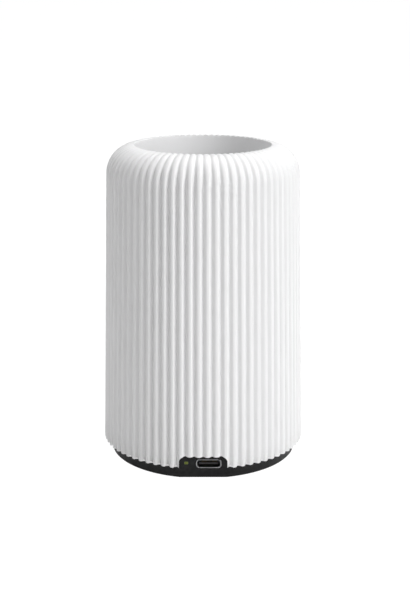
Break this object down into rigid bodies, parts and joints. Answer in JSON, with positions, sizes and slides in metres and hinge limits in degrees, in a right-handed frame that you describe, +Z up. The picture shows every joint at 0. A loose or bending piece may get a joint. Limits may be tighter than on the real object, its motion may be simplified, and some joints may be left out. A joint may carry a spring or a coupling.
{
  "type": "mesh wifi node",
  "caption": "Upright wireless mesh node: white vertically fluted shell with a round shoulder and an open air well on top, black base with power socket and status light.",
  "frame": {"origin": "on the axis of the round tower, in the plane of the table it stands on", "axes": "+Z up along the tower; -Y towards the flat with the power socket; +X to the right when facing the socket"},
  "size_m": [0.074, 0.0739, 0.1141],
  "materials": {
    "shell_white": "satin moulded",
    "liner_white": "fine satin moulded",
    "base_black": "fine spark texture",
    "foot_rubber": "matt",
    "socket_steel": "drawn, nickel plated",
    "socket_black": "smooth",
    "gold": "gold plated",
    "light_green": "translucent",
    "lamp": "moulded lamp",
    "board_green": "solder resist",
    "chip_black": "moulded",
    "pad_grey": "soft filled silicone",
    "tinned": "tin plated",
    "sink_metal": "extruded, clear anodised",
    "frame_grey": "moulded",
    "screw_steel": "zinc plated",
    "can_metal": "drawn",
    "choke_grey": "pressed powder",
    "film_amber": "copper under amber film",
    "lead_grey": "extruded jacket",
    "key_black": "moulded"
  },
  "bodies": {
    "housing": {"outer_shell": "shell_white", "air_well": "liner_white", "vent_grille": "liner_white", "base_tray": "base_black", "rubber_foot": "foot_rubber", "shell_screws": "screw_steel", "frame_screws": "screw_steel", "port_shell": "socket_steel", "port_insulator": "socket_black", "port_contacts": "gold", "light_guide": "light_green", "status_led": "lamp", "power_board": "board_green", "power_board_screws": "screw_steel", "power_chip": "chip_black", "power_inductor": "choke_grey", "filter_capacitors": "can_metal", "board_socket": "socket_black", "main_board": "board_green", "main_processor": "chip_black", "radio_chip_low_band": "chip_black", "radio_chip_high_band": "chip_black", "processor_pad": "pad_grey", "radio_pads": "pad_grey", "memory_chips": "chip_black", "shield_can_lower": "tinned", "shield_can_upper": "tinned", "heat_sink": "sink_metal", "heat_sink_screws": "screw_steel", "inner_frame": "frame_grey", "stamped_antenna_left": "tinned", "stamped_antenna_right": "tinned", "flex_antenna_left": "film_amber", "flex_antenna_right": "film_amber", "antenna_lead_left": "lead_grey", "antenna_lead_right": "lead_grey", "lead_plug_left": "gold", "lead_plug_right": "gold", "lead_socket_left": "gold", "lead_socket_right": "gold", "switch_body": "chip_black"},
    "key": {"reset_key": "key_black", "switch_stem": "key_black"}
  },
  "joints": [
    {"name": "reset_press", "type": "slide", "parent": "housing", "child": "key", "axis": [0, 0, 1], "range_m": [0, 0.0005], "stiffness_N_per_m": 3000, "springref_m": -0.0001}
  ]
}
